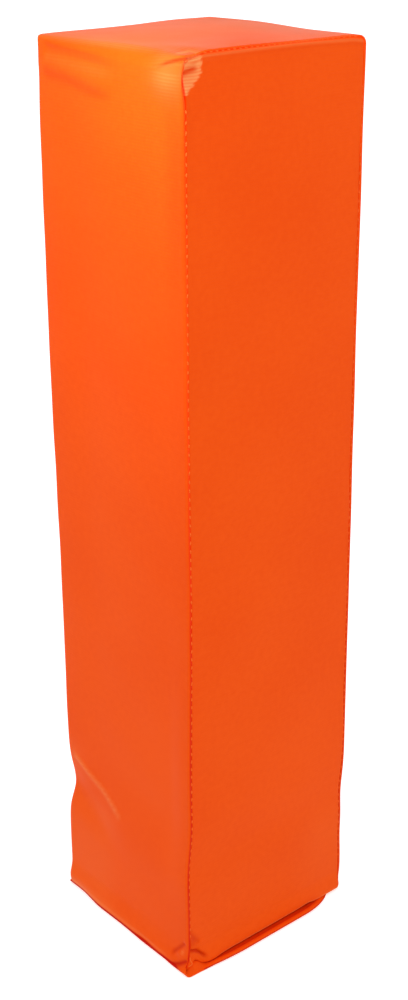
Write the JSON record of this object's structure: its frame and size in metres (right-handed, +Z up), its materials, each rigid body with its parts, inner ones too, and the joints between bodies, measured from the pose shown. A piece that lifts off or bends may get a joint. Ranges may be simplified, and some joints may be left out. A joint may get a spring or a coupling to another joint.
{
  "type": "football field pylon",
  "caption": "Upright orange goal line marker: a sewn vinyl cover over a foam core, with a sand pouch for ballast and a hinged flap that closes the base.",
  "frame": {"origin": "middle of the base outline, on the surface the pylon stands on", "axes": "+Z up the pylon, front panel facing -Y, the flap's fold along the lower edge of the -X side"},
  "size_m": [0.1111, 0.1116, 0.4571],
  "materials": {
    "orange_vinyl": "satin",
    "seam_thread": "matte",
    "hook_tape": "matte",
    "loop_tape": "matte",
    "foam": "matte",
    "pouch_canvas": "matte",
    "sand": "matte"
  },
  "bodies": {
    "pylon": {"cover_wrap": "orange_vinyl", "front_panel": "orange_vinyl", "back_panel": "orange_vinyl", "loop_strip": "loop_tape", "foam_core": "foam", "ballast_pouch_top": "pouch_canvas", "ballast_pouch_bottom": "pouch_canvas", "sand_fill": "sand"},
    "flap": {"bottom_flap": "orange_vinyl", "hook_strip": "hook_tape"}
  },
  "joints": [
    {"name": "flap_hinge", "type": "hinge", "parent": "pylon", "child": "flap", "pos_m": [-0.0556, 0, 0], "axis": [0, 1, 0], "range_deg": [0, 250]}
  ]
}
